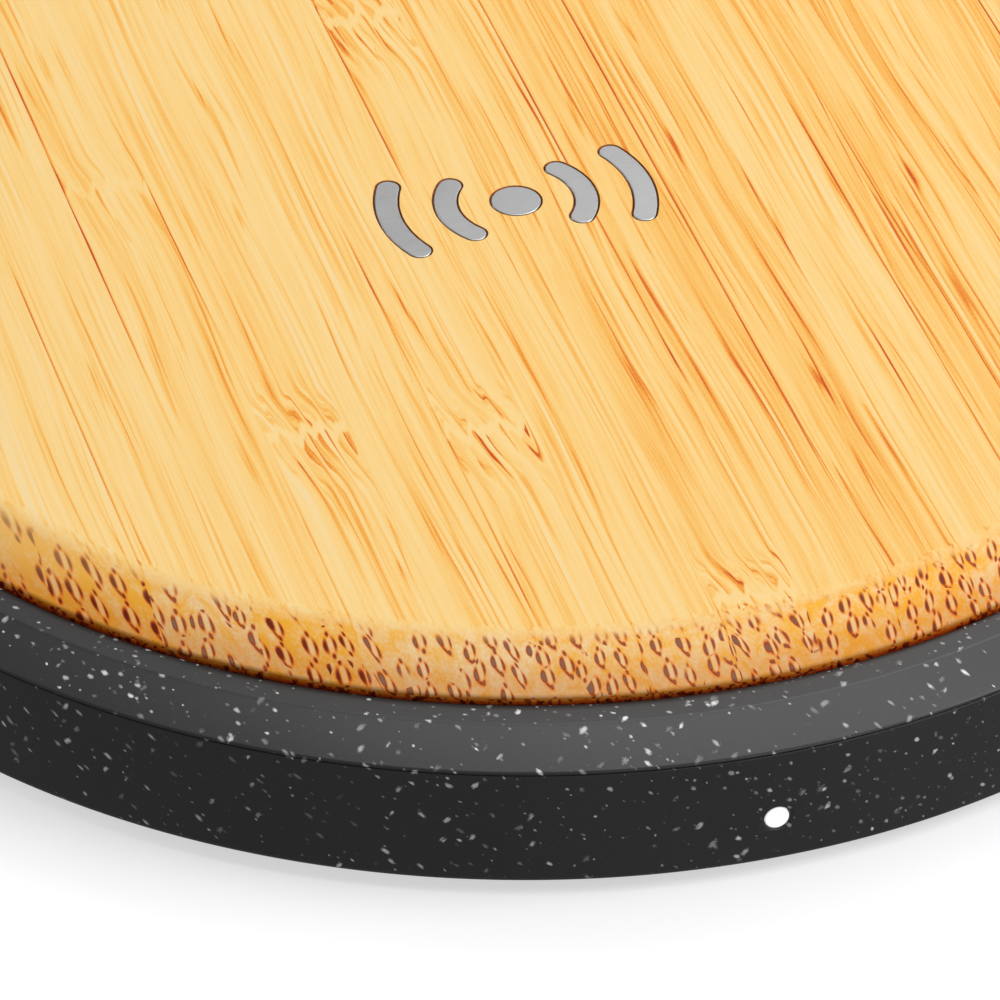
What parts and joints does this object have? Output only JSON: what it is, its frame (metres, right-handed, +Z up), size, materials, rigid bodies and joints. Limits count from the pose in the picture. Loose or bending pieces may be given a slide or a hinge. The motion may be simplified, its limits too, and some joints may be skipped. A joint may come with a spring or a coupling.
{
  "type": "wireless charging pad",
  "caption": "Round wireless charging pad with a bamboo top, a flecked charcoal ring and wall, a flush metal mark, a light dot and a USB-C inlet.",
  "frame": {"origin": "centre of the footprint, on the surface that the pad stands on", "axes": "+Z up, -Y the front with the status light, +Y the back with the USB-C inlet"},
  "size_m": [0.1, 0.1, 0.012],
  "materials": {
    "bamboo": "fine sanded, satin, laminated strips with fibre streaks",
    "inlay_metal": "satin, finely brushed",
    "shell_plastic": "fine matt texture with pale flecks",
    "base_plastic": "fine spark-eroded texture",
    "foot_silicone": "matt silicone",
    "diffuser": "milky, translucent",
    "adhesive_film": "transfer tape",
    "zinc_screw": "zinc plated",
    "copper_litz": "enamelled strands",
    "ferrite": "sintered, dull",
    "inner_plastic": "moulded",
    "sensor_epoxy": "dipped epoxy",
    "board_laminate": "solder mask",
    "pad_silicone": "soft thermal pad",
    "chip_epoxy": "moulded epoxy",
    "chip_ceramic": "fired ceramic",
    "crystal_can": "seam-welded lid",
    "lamp_resin": "clear resin",
    "usb_steel": "deep-drawn, nickel plated",
    "usb_plastic": "glass-filled",
    "contact_gold": "gold flash"
  },
  "bodies": {
    "root": {"bamboo_top": "bamboo", "inlay_mark": "inlay_metal", "top_adhesive": "adhesive_film", "outer_shell": "shell_plastic", "light_pipe": "diffuser", "base_cover": "base_plastic", "foot_ring": "foot_silicone", "foot_adhesive": "adhesive_film", "base_screws": "zinc_screw", "coil_winding": "copper_litz", "coil_leads": "copper_litz", "coil_adhesive": "adhesive_film", "ferrite_shield": "ferrite", "coil_carrier": "inner_plastic", "thermistor": "sensor_epoxy", "main_board": "board_laminate", "board_screws": "zinc_screw", "thermal_pad": "pad_silicone", "controller_ic": "chip_epoxy", "supply_ic": "chip_epoxy", "bridge_mosfets": "chip_epoxy", "resonant_capacitors": "chip_ceramic", "filter_inductor": "ferrite", "bulk_capacitors": "chip_ceramic", "chip_passives": "chip_ceramic", "crystal": "crystal_can", "status_led": "lamp_resin", "usb_shell": "usb_steel", "usb_tongue": "usb_plastic", "usb_contacts": "contact_gold"}
  },
  "joints": []
}
